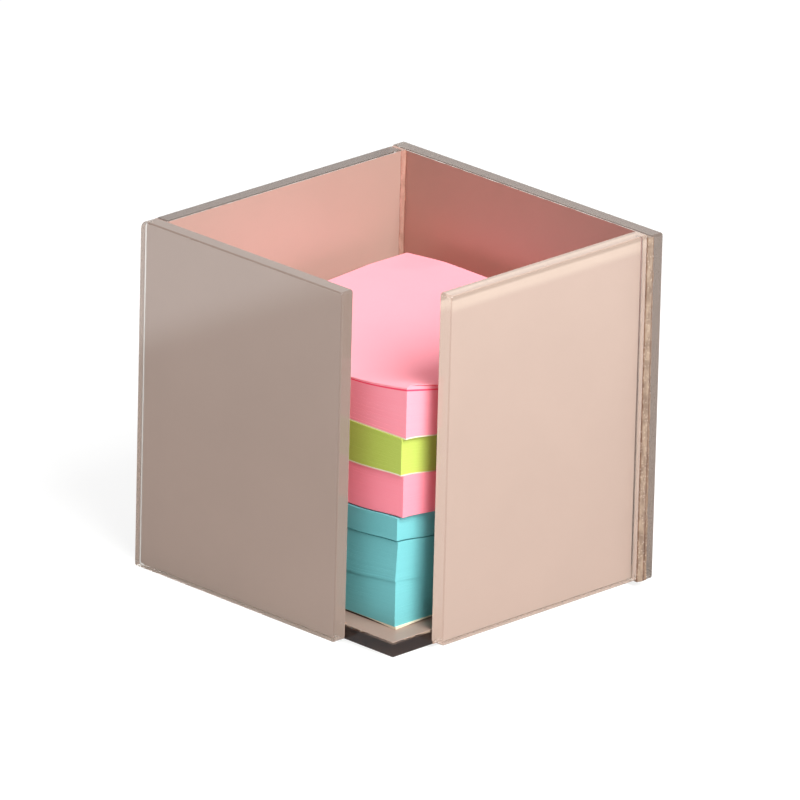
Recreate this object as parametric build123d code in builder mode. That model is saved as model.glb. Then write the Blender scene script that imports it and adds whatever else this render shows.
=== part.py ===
from build123d import *
import os
from math import cos, radians, sin

# A note pad holder: five glass plates, painted on the side that faces the notes
# and bonded edge to face into a cube that is open above and at one upright corner.
# Six sticky note pads lie in it. X runs across, Y to the back, Z up. The origin is
# on the desk, under the middle of the holder's outline.

# The room for the notes, between the painted faces
inner_width = 90.0
inner_depth = 90.7

# Glass plates and the paint on them
wall_height = 100.0
glass_t = 4.3
base_glass_t = 4.0
paint_t = 0.1
plate_corner = 0.8  # rounding of a plate's corners, seen square on
far_corner = 2.5  # the same at the front plate's upper corner away from the opening
outer_round = 0.5  # rounding of the edges round the outer face
inner_arris = 0.25  # flat ground on the edges round the painted face
base_arris = 0.4

# How far the plates run past each other, and where the open corner is
front_overhang = 1.3  # front plate past the left plate's outer face
rear_left_overhang = 0.8  # rear plate past the left plate's outer face
rear_right_overhang = 0.28  # rear plate past the right plate's outer face
front_gap = 18.1  # open width of the corner, along the front plate
side_gap = 14.4  # open width of the corner, along the right plate
right_raise = 0.75  # the right plate was bonded a little high

# Cured adhesive
film_t = 0.15  # where a plate's edge is pressed against a face
rear_right_joint = 1.45  # wide joint behind the right plate's edge
rear_left_joint = 1.0  # the same behind the left plate's edge
base_bead = 0.8  # fillet left on the base along each wall
corner_bead = 1.4  # width of the bead in the rear left corner
side_bead = 1.0  # width of the beads in the other two glued corners
bead_crown = 0.2  # how far a bead stands out, as a share of its width
smear_t = 0.12  # adhesive run out over the rear plate's right end
smear_width = 1.8
joint_setback = 0.2  # adhesive ends this far below the top of the walls

# Clear bumpers under the base
foot_height = 1.6
foot_diameter = 8.0
foot_inset = 12.0
foot_round = 0.5

# Notes: the leaves of a pad are square, and some pads have a backing card
note_size = 76.2
note_corner = 0.3
backing_t = 0.4
teal_bottom_t = 12.4
teal_middle_t = 11.7
teal_top_t = 6.4
pink_middle_t = 11.7
green_t = 11.2
pink_top_t = 12.5
loose_t = 0.4  # the few leaves that have come up at their free corner
curl_reach = 17.0  # how far in from the corner they lift, along the diagonal
curl_radius = 95.0

# How each pad lies: shift across and to the back, and turn in degrees
teal_bottom_shift = (-0.6, -0.1)
teal_bottom_turn = 0.6
teal_middle_shift = (0.0, 0.0)
teal_middle_turn = 0.2
teal_top_shift = (0.5, 0.05)
teal_top_turn = -0.3
pink_middle_shift = (1.3, 0.15)
pink_middle_turn = 0.5
green_shift = (1.4, 0.2)
green_turn = -0.4
pink_top_shift = (2.15, 0.15)
pink_top_turn = 0.2

# Worked out from the sizes above
wall_t = glass_t + paint_t
base_t = base_glass_t + paint_t
past_left = wall_t + max(front_overhang, rear_left_overhang)
past_right = wall_t + rear_right_overhang + smear_t
x_left = past_left - (inner_width + past_left + past_right) / 2  # painted face of the left plate
x_right = x_left + inner_width
y_front = -inner_depth / 2
y_rear = inner_depth / 2
z_case = foot_height  # underside of the plates
z_top = z_case + wall_height
z_floor = z_case + base_t  # painted top of the base
stack_x = (x_left + x_right) / 2
stack_y = (y_front + y_rear) / 2

front_x0 = x_left - wall_t - front_overhang
front_x1 = x_right - front_gap
rear_x0 = x_left - wall_t - rear_left_overhang
rear_x1 = x_right + wall_t + rear_right_overhang
left_y0 = y_front + film_t
left_y1 = y_rear - rear_left_joint
right_y0 = y_front + side_gap
right_y1 = y_rear - rear_right_joint

# Planes of the four painted faces. Each looks out of the holder, so that a plate
# is extruded away from the notes: x is along the wall, y is up.
front_face = Plane(origin=(0, y_front, 0), x_dir=(1, 0, 0), z_dir=(0, -1, 0))
rear_face = Plane(origin=(0, y_rear, 0), x_dir=(-1, 0, 0), z_dir=(0, 1, 0))
left_face = Plane(origin=(x_left, 0, 0), x_dir=(0, -1, 0), z_dir=(-1, 0, 0))
right_face = Plane(origin=(x_right, 0, 0), x_dir=(0, 1, 0), z_dir=(1, 0, 0))

os.makedirs("parts", exist_ok=True)


def save(part, label):
    """Names a finished piece and writes it."""
    part.label = label
    export_step(part, f"parts/{label}.step")


def wall_outline(face, start, end, bottom, inset, first_corner):
    """A wall seen square on, drawn in by inset from its edges. start and end are
    along the face, and first_corner rounds the upper corner at the start."""
    left = start + inset
    right = end - inset
    low = bottom + inset
    high = bottom + wall_height - inset
    rounding = (plate_corner - inset, plate_corner - inset, plate_corner - inset, first_corner - inset)
    with BuildSketch(face) as outline:
        with BuildLine():
            FilletPolyline((left, low), (right, low), (right, high), (left, high), radius=rounding, close=True)
        make_face()
    return outline.sketch


def glass_plate(face, start, end, bottom, first_corner=plate_corner):
    """One wall: its outer edges rounded over and the edges on its painted side
    ground flat."""
    with BuildPart() as plate:
        extrude(wall_outline(face.offset(paint_t), start, end, bottom, 0, first_corner), amount=glass_t)
        sides = plate.faces().filter_by(Plane(face.origin, z_dir=face.z_dir))
        sides = sides.sort_by(Axis(face.origin, face.z_dir))
        painted_edges = sides[0].edges()
        fillet(sides[-1].edges(), outer_round)
        chamfer(painted_edges, inner_arris)
    return plate.part


def paint_coat(face, start, end, bottom, first_corner=plate_corner):
    """The paint on a wall, which stops at the ground edge of its plate."""
    with BuildPart() as coat:
        extrude(wall_outline(face, start, end, bottom, inner_arris, first_corner), amount=paint_t)
    return coat.part


# The front plate, left of the open corner
save(glass_plate(front_face, front_x0, front_x1, z_case, far_corner), "front_panel")
save(paint_coat(front_face, front_x0, front_x1, z_case, far_corner), "front_paint")

# The right plate, behind the open corner
save(glass_plate(right_face, right_y0, right_y1, z_case + right_raise), "right_panel")
save(paint_coat(right_face, right_y0, right_y1, z_case + right_raise), "right_paint")

# The rear plate, which both side plates end against
save(glass_plate(rear_face, -rear_x1, -rear_x0, z_case), "rear_panel")
save(paint_coat(rear_face, -rear_x1, -rear_x0, z_case), "rear_paint")

# The left plate, between the front plate and the rear plate
save(glass_plate(left_face, -left_y1, -left_y0, z_case), "left_panel")
save(paint_coat(left_face, -left_y1, -left_y0, z_case), "left_paint")

# The base plate stands between the four walls, a film of adhesive from each
base_width = inner_width - 2 * film_t
base_depth = inner_depth - 2 * film_t
with BuildPart() as base_panel:
    with BuildSketch(Plane((stack_x, stack_y, z_case))):
        Rectangle(base_width, base_depth)
    extrude(amount=base_glass_t)
    chamfer(base_panel.faces().sort_by(Axis.Z)[-1].edges(), base_arris)
save(base_panel.part, "base_panel")

with BuildPart() as base_paint:
    with BuildSketch(Plane((stack_x, stack_y, z_case + base_glass_t))):
        Rectangle(base_width - 2 * base_arris, base_depth - 2 * base_arris)
    extrude(amount=paint_t)
save(base_paint.part, "base_paint")


def base_seam(face, start, end):
    """Adhesive between the base and one wall, with the fillet that was pressed
    out on top. Drawn square on to the wall, from the wall inwards."""
    corner = face.from_local_coords((start, z_case, 0))
    with BuildPart() as seam:
        with BuildSketch(Plane(corner, x_dir=-face.z_dir, z_dir=face.x_dir)):
            with BuildLine():
                Polyline(
                    (0, 0),
                    (0, base_t + base_bead),
                    (film_t + base_arris + base_bead, base_t),
                    (film_t + base_arris, base_t),
                    (film_t, base_glass_t - base_arris),
                    (film_t, 0),
                    close=True,
                )
            make_face()
        extrude(amount=end - start)
    return seam.part


seam_reach = film_t + base_arris + base_bead  # how far a base seam stands in from its wall
save(base_seam(front_face, x_left, front_x1 - plate_corner), "base_seam_front")
save(base_seam(rear_face, -x_right, -x_left), "base_seam_rear")
save(base_seam(left_face, seam_reach - y_rear, -y_front - seam_reach), "base_seam_left")
save(base_seam(right_face, right_y0 + plate_corner, y_rear - seam_reach), "base_seam_right")


def upright_seam(plate_side, plate_end, wall, inward, bead):
    """Adhesive between the end of a side plate and the wall that it meets, with the
    rounded bead that was pressed out into the corner. plate_side is the side
    plate's painted face, inward is which way along X the notes are."""
    toward = 1 if wall > plate_end else -1
    x_out = plate_side - inward * wall_t
    x_bead = plate_side + inward * bead
    y_bead = plate_end - toward * bead
    low = z_floor + base_bead
    high = z_top - joint_setback
    with BuildPart() as seam:
        with BuildSketch(Plane.XY.offset(z_case + joint_setback)):
            with Locations(((plate_side + x_out) / 2, (plate_end + wall) / 2)):
                Rectangle(wall_t, abs(wall - plate_end))
        extrude(amount=high - z_case - joint_setback)
        with BuildSketch(Plane.XY.offset(low)):
            with BuildLine():
                Line((plate_side, wall), (x_bead, wall))
                SagittaArc((x_bead, wall), (plate_side, y_bead), inward * toward * bead * bead_crown)
                Line((plate_side, y_bead), (plate_side, wall))
            make_face()
        extrude(amount=high - low)
    return seam.part


save(upright_seam(x_left, left_y1, y_rear, 1, corner_bead), "rear_left_seam")
save(upright_seam(x_left, left_y0, y_front, 1, side_bead), "front_left_seam")

# The wide joint behind the right plate was filled from outside, and the adhesive
# ran out over the end of the rear plate
with BuildPart() as rear_right_seam:
    add(upright_seam(x_right, right_y1, y_rear, -1, side_bead))
    with BuildSketch(Plane.XY.offset(z_case + joint_setback)):
        with BuildLine():
            Polyline(
                (x_right + wall_t, right_y1),
                (rear_x1 + smear_t, y_rear - smear_t),
                (rear_x1 + smear_t, y_rear + smear_width),
                (rear_x1, y_rear + smear_width),
                (rear_x1, y_rear),
                (x_right + wall_t, y_rear),
                close=True,
            )
        make_face()
    extrude(amount=wall_height - 2 * joint_setback)
save(rear_right_seam.part, "rear_right_seam")

# Four clear bumpers, pressed on under the base
with BuildPart() as bumper_feet:
    with BuildSketch(Plane((stack_x, stack_y, 0))):
        with GridLocations(base_width - 2 * foot_inset, base_depth - 2 * foot_inset, 2, 2):
            Circle(foot_diameter / 2)
    extrude(amount=foot_height)
    fillet(bumper_feet.faces().group_by(Axis.Z)[0].edges(), foot_round)
save(bumper_feet.part, "bumper_feet")


def pad_plane(bottom, shift, turn):
    """Where a pad lies: its height, its shift from the middle and its turn."""
    return Plane(
        origin=(stack_x + shift[0], stack_y + shift[1], bottom),
        x_dir=(cos(radians(turn)), sin(radians(turn)), 0),
        z_dir=(0, 0, 1),
    )


def leaves(plane, thickness):
    """A block of square leaves, cut flush on all sides."""
    with BuildPart() as block:
        with BuildSketch(plane):
            RectangleRounded(note_size, note_size, note_corner)
        extrude(amount=thickness)
    return block.part


# Three teal pads at the bottom, the lowest on its backing card
teal_bottom_z = z_floor + backing_t
teal_middle_z = teal_bottom_z + teal_bottom_t
teal_top_z = teal_middle_z + teal_middle_t
save(leaves(pad_plane(z_floor, teal_bottom_shift, teal_bottom_turn), backing_t), "teal_backing")
save(leaves(pad_plane(teal_bottom_z, teal_bottom_shift, teal_bottom_turn), teal_bottom_t), "teal_bottom_pad")
save(leaves(pad_plane(teal_middle_z, teal_middle_shift, teal_middle_turn), teal_middle_t), "teal_middle_pad")
save(leaves(pad_plane(teal_top_z, teal_top_shift, teal_top_turn), teal_top_t), "teal_top_pad")

# A pink pad and a green pad, each on its backing card
pink_card_z = teal_top_z + teal_top_t
pink_middle_z = pink_card_z + backing_t
green_card_z = pink_middle_z + pink_middle_t
green_z = green_card_z + backing_t
save(leaves(pad_plane(pink_card_z, pink_middle_shift, pink_middle_turn), backing_t), "pink_middle_backing")
save(leaves(pad_plane(pink_middle_z, pink_middle_shift, pink_middle_turn), pink_middle_t), "pink_middle_pad")
save(leaves(pad_plane(green_card_z, green_shift, green_turn), backing_t), "green_backing")
save(leaves(pad_plane(green_z, green_shift, green_turn), green_t), "green_pad")

# The pink pad on top
top_card_z = green_z + green_t
pink_top_z = top_card_z + backing_t
loose_z = pink_top_z + pink_top_t
save(leaves(pad_plane(top_card_z, pink_top_shift, pink_top_turn), backing_t), "pink_top_backing")
save(leaves(pad_plane(pink_top_z, pink_top_shift, pink_top_turn), pink_top_t), "pink_top_pad")

# Its uppermost leaves lie flat but for the corner at the opening, which curls up.
# Their section is drawn along that diagonal and cut to the square of the pad.
loose_plane = pad_plane(loose_z, pink_top_shift, pink_top_turn)
half_diagonal = note_size / 2 ** 0.5
curl_start = half_diagonal - curl_reach
curl_end = half_diagonal + loose_t
curl_rise = curl_radius - (curl_radius ** 2 - (curl_end - curl_start) ** 2) ** 0.5
diagonal = loose_plane.rotated((0, 0, -45))
section = Plane(diagonal.origin, x_dir=diagonal.x_dir, z_dir=-diagonal.y_dir)
with BuildPart() as loose_notes:
    with BuildSketch(section):
        with BuildLine():
            Line((-half_diagonal, 0), (curl_start, 0))
            RadiusArc((curl_start, 0), (curl_end, curl_rise), -curl_radius)
            Line((curl_end, curl_rise), (curl_end, curl_rise + loose_t))
            RadiusArc((curl_end, curl_rise + loose_t), (curl_start, loose_t), curl_radius)
            Line((curl_start, loose_t), (-half_diagonal, loose_t))
            Line((-half_diagonal, loose_t), (-half_diagonal, 0))
        make_face()
    extrude(amount=half_diagonal, both=True)
    with BuildSketch(loose_plane):
        RectangleRounded(note_size, note_size, note_corner)
    extrude(amount=curl_rise + 2 * loose_t, mode=Mode.INTERSECT)
save(loose_notes.part, "loose_notes")
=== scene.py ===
from math import cos, pi, radians, sin

import bpy
import numpy as np
from mathutils import Matrix, Vector, noise


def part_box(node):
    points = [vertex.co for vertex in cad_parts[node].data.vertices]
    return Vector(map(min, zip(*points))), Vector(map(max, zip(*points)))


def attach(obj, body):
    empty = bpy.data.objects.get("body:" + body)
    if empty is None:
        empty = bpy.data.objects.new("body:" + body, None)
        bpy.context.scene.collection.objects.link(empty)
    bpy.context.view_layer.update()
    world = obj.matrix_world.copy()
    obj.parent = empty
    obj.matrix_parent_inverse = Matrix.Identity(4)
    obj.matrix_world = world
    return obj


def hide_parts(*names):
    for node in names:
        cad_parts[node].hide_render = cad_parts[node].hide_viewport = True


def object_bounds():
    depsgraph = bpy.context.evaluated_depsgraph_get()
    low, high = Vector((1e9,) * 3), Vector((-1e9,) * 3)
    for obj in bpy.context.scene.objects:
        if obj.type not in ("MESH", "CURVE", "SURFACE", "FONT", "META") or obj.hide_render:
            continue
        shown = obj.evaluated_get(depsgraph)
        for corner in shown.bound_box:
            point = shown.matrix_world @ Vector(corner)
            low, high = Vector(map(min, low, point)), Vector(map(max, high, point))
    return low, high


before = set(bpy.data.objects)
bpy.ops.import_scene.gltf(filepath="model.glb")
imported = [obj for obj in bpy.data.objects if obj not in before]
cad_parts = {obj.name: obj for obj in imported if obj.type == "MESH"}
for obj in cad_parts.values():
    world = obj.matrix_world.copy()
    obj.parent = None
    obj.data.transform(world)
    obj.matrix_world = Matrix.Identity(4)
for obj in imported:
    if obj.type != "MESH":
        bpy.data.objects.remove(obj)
cad_low, cad_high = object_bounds()


# ---------------------------------------------------------------------------
# Glass plates. Four walls and a base of 4 mm float glass, cut, with their
# edges ground and polished. They are bonded edge to face.

MM = 0.001
GLASS_IOR = 1.52
FACE_TINTS = ("F6FAF6", "F2F5F2")  # clean, and where a wipe mark is
EDGE_COLOURS = {"X": "F0F2EE", "Y": "F0F2EE", "Z": "846C66"}  # the base's edge is dark: painted shade of its unlit inside, seen through its whole width
# The arrises are tinted darker: painted shade, the dark line that a rounded glass edge shows.
ARRIS_SHADE_COLOUR = "D2C8C2"
GROUND_COLOUR = "D8CCC0"  # of the light that a ground edge scatters
GROUND_SHARE = 0.07
GRIT = 0.5 * MM  # the grinding marks, coarser than real ones so that they show
WIPE = 30 * MM
EDGE_SHADE_COLOUR = "5A2E24"  # dark brown on the base's edge: painted shade of its unlit inside
CHIP_COLOUR = "B09A86"
CHIP_SIZE = 1.6 * MM
CHIP_REACH = 1.1 * MM  # how far down the edge the chips go
CHIP_SHARE = 0.5
# The axis that each plate's faces look along
PLATE_FACING = {
    "front_panel": "Y",
    "rear_panel": "Y",
    "left_panel": "X",
    "right_panel": "X",
    "base_panel": "Z",
}


def srgb(hex_colour):
    """A hex colour as it is seen, as the linear values that shaders use."""
    parts = [int(hex_colour[i:i + 2], 16) / 255 for i in (0, 2, 4)]
    linear = [c / 12.92 if c <= 0.04045 else ((c + 0.055) / 1.055) ** 2.4 for c in parts]
    return (*linear, 1.0)


def add(tree, kind, inputs=None, **settings):
    """Adds a node. inputs gives its sockets a value, or another node's output."""
    made = tree.nodes.new(kind)
    for name, value in settings.items():
        setattr(made, name, value)
    for socket, value in (inputs or {}).items():
        if isinstance(value, bpy.types.NodeSocket):
            tree.links.new(value, made.inputs[socket])
        else:
            made.inputs[socket].default_value = value
    return made


def new_material(name):
    """An empty material: its tree and its output node."""
    made = bpy.data.materials.new(name)
    made.use_nodes = True
    made.node_tree.nodes.clear()
    return made, made.node_tree, add(made.node_tree, "ShaderNodeOutputMaterial")


def chipped_edge(tree, place, upper_arris, scattering):
    """Small chips along an upper arris, over an edge painted dark brown as shade.
    Gives the colour that the edge scatters, and the share of light it scatters."""
    height = add(tree, "ShaderNodeSeparateXYZ", {0: place}).outputs[2]
    near = add(tree, "ShaderNodeMapRange", {
        "Value": height, "From Min": upper_arris - CHIP_REACH, "From Max": upper_arris, "To Max": 0.6,
    })
    noisy = add(tree, "ShaderNodeTexNoise", {"Vector": place, "Scale": 1 / CHIP_SIZE, "Detail": 5.0})
    noisy = add(tree, "ShaderNodeMath", {0: noisy.outputs[0], 1: near.outputs[0]})
    chips = add(tree, "ShaderNodeMapRange", {
        "Value": noisy.outputs[0], "From Min": 0.93, "From Max": 1.12,
    }).outputs[0]
    colour = add(tree, "ShaderNodeMix", {0: chips, 6: srgb(EDGE_SHADE_COLOUR), 7: srgb(CHIP_COLOUR)},
                 data_type="RGBA").outputs[2]
    share = add(tree, "ShaderNodeMath", {0: chips, 1: CHIP_SHARE}, operation="MULTIPLY").outputs[0]
    share = add(tree, "ShaderNodeMath", {0: scattering, 1: share}, operation="MAXIMUM").outputs[0]
    return colour, share


def float_glass(facing, chipped_at=None):
    """Soda-lime float glass: mirror flat on its faces, with faint wipe marks. Its
    edges were ground and polished, which leaves them a little satin; its arrises
    are tinted darker as painted shade. facing is the axis its faces look along. The
    base's edge is chipped along its upper arris, at height chipped_at, and painted dark as shade."""
    made, tree, out = new_material("float_glass_" + facing.lower())
    place = add(tree, "ShaderNodeTexCoord").outputs["Object"]
    grit = add(tree, "ShaderNodeTexNoise", {"Vector": place, "Scale": 1 / GRIT, "Detail": 3.0})
    wiped = add(tree, "ShaderNodeTexNoise", {"Vector": place, "Scale": 1 / WIPE, "Detail": 4.0})
    # A face looks along its axis, an arris along none of them
    normal = add(tree, "ShaderNodeTexCoord").outputs["Normal"]
    normal = add(tree, "ShaderNodeVectorMath", {0: normal}, operation="ABSOLUTE").outputs[0]
    along = add(tree, "ShaderNodeSeparateXYZ", {0: normal}).outputs
    is_face = add(tree, "ShaderNodeMath", {0: along[facing], 1: 0.98}, operation="GREATER_THAN").outputs[0]
    steepest = add(tree, "ShaderNodeMath", {0: along[0], 1: along[1]}, operation="MAXIMUM").outputs[0]
    steepest = add(tree, "ShaderNodeMath", {0: steepest, 1: along[2]}, operation="MAXIMUM").outputs[0]
    is_arris = add(tree, "ShaderNodeMath", {0: steepest, 1: 0.96}, operation="LESS_THAN").outputs[0]
    edge_rough = add(tree, "ShaderNodeMapRange", {"Value": grit.outputs[0], "To Min": 0.05, "To Max": 0.2})
    rough = add(tree, "ShaderNodeMix", {0: is_face, 2: edge_rough.outputs[0], 3: 0.0})
    clean, marked = (srgb(tint) for tint in FACE_TINTS)
    face = add(tree, "ShaderNodeMix", {0: wiped.outputs[0], 6: clean, 7: marked},
               data_type="RGBA").outputs[2]
    tint = add(tree, "ShaderNodeMix", {0: is_face, 6: srgb(EDGE_COLOURS[facing]), 7: face},
               data_type="RGBA").outputs[2]
    tint = add(tree, "ShaderNodeMix", {0: is_arris, 6: tint, 7: srgb(ARRIS_SHADE_COLOUR)},
               data_type="RGBA").outputs[2]
    solid = add(tree, "ShaderNodeBsdfPrincipled", {
        "Base Color": tint, "Roughness": rough.outputs[0], "IOR": GLASS_IOR, "Transmission Weight": 1.0,
    })
    share = add(tree, "ShaderNodeMapRange", {
        "Value": is_face, "To Min": GROUND_SHARE, "To Max": 0.0,
    }).outputs[0]
    ground = srgb(GROUND_COLOUR)
    if chipped_at is not None:
        ground, share = chipped_edge(tree, place, chipped_at, share)
    ground = add(tree, "ShaderNodeBsdfDiffuse", {0: ground})
    solid = add(tree, "ShaderNodeMixShader", {0: share, 1: solid.outputs[0], 2: ground.outputs[0]})
    # Shadow rays and diffuse ones pass straight through, so the coat behind is lit
    clear = add(tree, "ShaderNodeBsdfTransparent", {0: srgb("F6F9F6")})
    path = add(tree, "ShaderNodeLightPath")
    passing = add(tree, "ShaderNodeMath", {
        0: path.outputs["Is Shadow Ray"], 1: path.outputs["Is Diffuse Ray"],
    }, operation="MAXIMUM")
    mixed = add(tree, "ShaderNodeMixShader", {
        0: passing.outputs[0], 1: solid.outputs[0], 2: clear.outputs[0],
    })
    tree.links.new(mixed.outputs[0], out.inputs[0])
    return made


chipped_heights = {"Z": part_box("base_panel")[1].z}
glass = {facing: float_glass(facing, chipped_heights.get(facing)) for facing in EDGE_COLOURS}
for node, facing in PLATE_FACING.items():
    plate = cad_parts[node]
    plate.data.materials.clear()
    plate.data.materials.append(glass[facing])


# ---------------------------------------------------------------------------
# Paint coats. A rose beige enamel, rolled on the side of each plate that faces
# the notes and baked. It stops short of the ground edge in a slightly uneven line.

ENAMEL_OPEN = "B3978A"
ENAMEL_BONDED = "B59A90"  # as it looks through the glass
ENAMEL_BASE = "9A8175"  # darker: painted shade under the notes and walls
ENAMEL_REAR = "B2897C"  # a shade redder: painted light, the pink notes' light thrown back on it
CLOUD = 25 * MM
ORANGE_PEEL = 1.5 * MM
COAT_BITE = 0.03 * MM  # the coat reaches into the glass by this, so no air shows between them
COAT_CORNER = 0.55 * MM
COAT_FAR_CORNER = 2.25 * MM  # at the front plate's upper left corner
COAT_WANDER = 0.06 * MM  # how uneven the line is where the coat stops
WANDER_LENGTH = 2.5 * MM
COAT_STEP = 0.8 * MM
# Painted light on the rear plate's coat, the pink notes' colour thrown back on it: it begins and is full at
# these heights
NOTES_BOUNCE_LIGHT = (92 * MM, 73 * MM, 0.5, "D08A7C")
# The right plate's coat under its ground top edge: paler where light falls through
# that edge, and dark in its shade. Both are how far below the top they begin and are full
PALE_FROM, PALE_FULL = 6.2 * MM, 3.7 * MM
DARK_FROM, DARK_FULL = 2.6 * MM, 1.75 * MM


def enamel(name, tint, sheen, bands=()):
    """Baked enamel: even colour with a faint cloudiness. Its open side is satin
    with a little orange peel; the side against the glass has no gloss of its own.
    Each of the bands is a height where another tone begins, one where it is full,
    its share and its colour."""
    made, tree, out = new_material(name)
    place = add(tree, "ShaderNodeTexCoord").outputs["Object"]
    cloud = add(tree, "ShaderNodeTexNoise", {"Vector": place, "Scale": 1 / CLOUD, "Detail": 3.0})
    tone = add(tree, "ShaderNodeMapRange", {"Value": cloud.outputs[0], "To Min": 0.96, "To Max": 1.04})
    colour = add(tree, "ShaderNodeHueSaturation", {"Value": tone.outputs[0], "Color": srgb(tint)}).outputs[0]
    height = add(tree, "ShaderNodeSeparateXYZ", {0: place}).outputs[2]
    for begins, full, share, other in bands:
        near = add(tree, "ShaderNodeMapRange", {
            "Value": height, "From Min": begins, "From Max": full, "To Max": share,
        }, interpolation_type="SMOOTHSTEP")
        colour = add(tree, "ShaderNodeMix", {0: near.outputs[0], 6: colour, 7: srgb(other)},
                     data_type="RGBA").outputs[2]
    peel = add(tree, "ShaderNodeTexNoise", {"Vector": place, "Scale": 1 / ORANGE_PEEL, "Detail": 2.0})
    bump = add(tree, "ShaderNodeBump", {
        "Height": peel.outputs[0], "Strength": 0.08 if sheen else 0.0, "Distance": 0.05 * MM,
    })
    shader = add(tree, "ShaderNodeBsdfPrincipled", {
        "Base Color": colour, "Roughness": 0.38 if sheen else 0.9, "Normal": bump.outputs[0],
        "Specular IOR Level": 0.5 if sheen else 0.0,
    })
    tree.links.new(shader.outputs[0], out.inputs[0])
    return made


def new_object(name, vertices, faces, materials, face_material=None):
    """A closed mesh at the origin, with its place in its mesh and its faces outward."""
    mesh = bpy.data.meshes.new(name)
    mesh.from_pydata([tuple(v) for v in vertices], [], [tuple(f) for f in faces])
    for material in materials:
        mesh.materials.append(material)
    if face_material is not None:
        mesh.polygons.foreach_set("material_index", face_material)
    mesh.calc_loop_triangles()
    corners = np.array([vertices[i] for t in mesh.loop_triangles for i in t.vertices], dtype=float)
    corners = corners.reshape(-1, 3, 3) - np.mean(corners, axis=0)
    if np.einsum("ij,ij->", corners[:, 0], np.cross(corners[:, 1], corners[:, 2])) < 0:
        mesh.flip_normals()
    mesh.update()
    made = bpy.data.objects.new(name, mesh)
    bpy.context.scene.collection.objects.link(made)
    return made


def rounded_outline(width, height, corners, step):
    """Points round a rectangle about its centre. corners rounds its lower right,
    upper right, upper left and lower left corner."""
    signs = [(1, -1), (1, 1), (-1, 1), (-1, -1)]
    centres = [(x * (width / 2 - r), y * (height / 2 - r)) for (x, y), r in zip(signs, corners)]
    points = []
    for k, (x, y) in enumerate(centres):
        angles = [radians(90 * k - 90 + 15 * i) for i in range(7)]
        bend = [(x + corners[k] * cos(a), y + corners[k] * sin(a)) for a in angles]
        next_x, next_y = centres[(k + 1) % 4]
        next_radius = corners[(k + 1) % 4]
        start = Vector(bend[-1])
        stop = Vector((next_x + next_radius * cos(angles[-1]), next_y + next_radius * sin(angles[-1])))
        count = max(1, round((stop - start).length / step))
        points += bend + [tuple(start.lerp(stop, i / count)) for i in range(1, count)]
    return points


def coat(node, facing, glass_side, open_side, bands=()):
    """The coat on one plate. facing is the axis across it, and glass_side is +1
    where the glass is on the high side of that axis. bands are on its glass side."""
    low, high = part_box(node)
    across = "XYZ".index(facing)
    first, second = [i for i in range(3) if i != across]
    centre = (low + high) / 2
    width, height = high[first] - low[first], high[second] - low[second]
    corners = [COAT_CORNER] * 4
    if node == "front_paint":
        corners[2] = COAT_FAR_CORNER
    open_face, glass_face = (low, high) if glass_side > 0 else (high, low)
    rings = []
    for depth in (open_face[across], glass_face[across] + glass_side * COAT_BITE):
        for x, y in rounded_outline(width, height, corners, COAT_STEP):
            drawn_in = COAT_WANDER * (1 + noise.noise(Vector((x, y, across * MM)) / WANDER_LENGTH))
            pull = 1 - drawn_in / max(abs(x), abs(y))
            point = [0.0, 0.0, 0.0]
            point[first] = centre[first] + x * pull
            point[second] = centre[second] + y * pull
            point[across] = depth
            rings.append(point)
    count = len(rings) // 2
    faces = [list(range(count)), list(range(2 * count - 1, count - 1, -1))]
    faces += [[i, i + count, (i + 1) % count + count, (i + 1) % count] for i in range(count)]
    behind_glass = "rose_beige_enamel_behind_" + node.replace("paint", "glass")
    bonded = enamel(behind_glass, ENAMEL_BONDED, False, bands)
    side_of_face = [0] + [1] * (len(faces) - 1)
    made = new_object(node + "_coat", rings, faces, [open_side, bonded], side_of_face)
    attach(made, "holder")
    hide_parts(node)


open_enamel = enamel("rose_beige_enamel_open_side", ENAMEL_OPEN, True)
# The base's coat is darker: painted shade.
base_shaded_enamel = enamel("rose_beige_enamel_base_shaded", ENAMEL_BASE, True)
# The rear plate's coat is redder: painted light from the pink notes, with a painted glow above them.
rear_bounce_enamel = enamel("rose_beige_enamel_painted_bounce", ENAMEL_REAR, True, [NOTES_BOUNCE_LIGHT])
coat("front_paint", "Y", -1, open_enamel)
coat("rear_paint", "Y", 1, rear_bounce_enamel)
coat("left_paint", "X", -1, open_enamel)
right_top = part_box("right_paint")[1].z
coat("right_paint", "X", 1, open_enamel, [
    (right_top - PALE_FROM, right_top - PALE_FULL, 0.36, "D9C2B4"),
    (right_top - DARK_FROM, right_top - DARK_FULL, 0.9, "A38A7E"),
])
coat("base_paint", "Z", -1, base_shaded_enamel)


# ---------------------------------------------------------------------------
# Cured adhesive. Clear glass adhesive that was pressed out of the joints and
# left as it set: wavy beads with small bubbles, brownish where it is thick.

SEAM_STEP = 0.5 * MM
BLOTCH = 1.3 * MM
BLOTCH_STRETCH = 0.45  # blotches run up the joint
BUBBLE = 0.7 * MM
# The bubbles' glints are a painted highlight.
BUBBLE_HIGHLIGHT_COLOUR = "E6D2C0"
# Tints across a bead, from its one rim at 0 to its other at 1. The darker ones are painted shade, the pale
# one at 0.88 a painted highlight along the rim
BEAD_SHADE_TINTS = [(0.0, "C8AEA0"), (0.1, "D2BCB0"), (0.16, "FFFFFF"), (0.6, "FFFFFF"), (0.7, "BEA69A"),
              (0.8, "BEA69A"), (0.88, "F2E6DC"), (1.0, "D8C8BC")]


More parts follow.
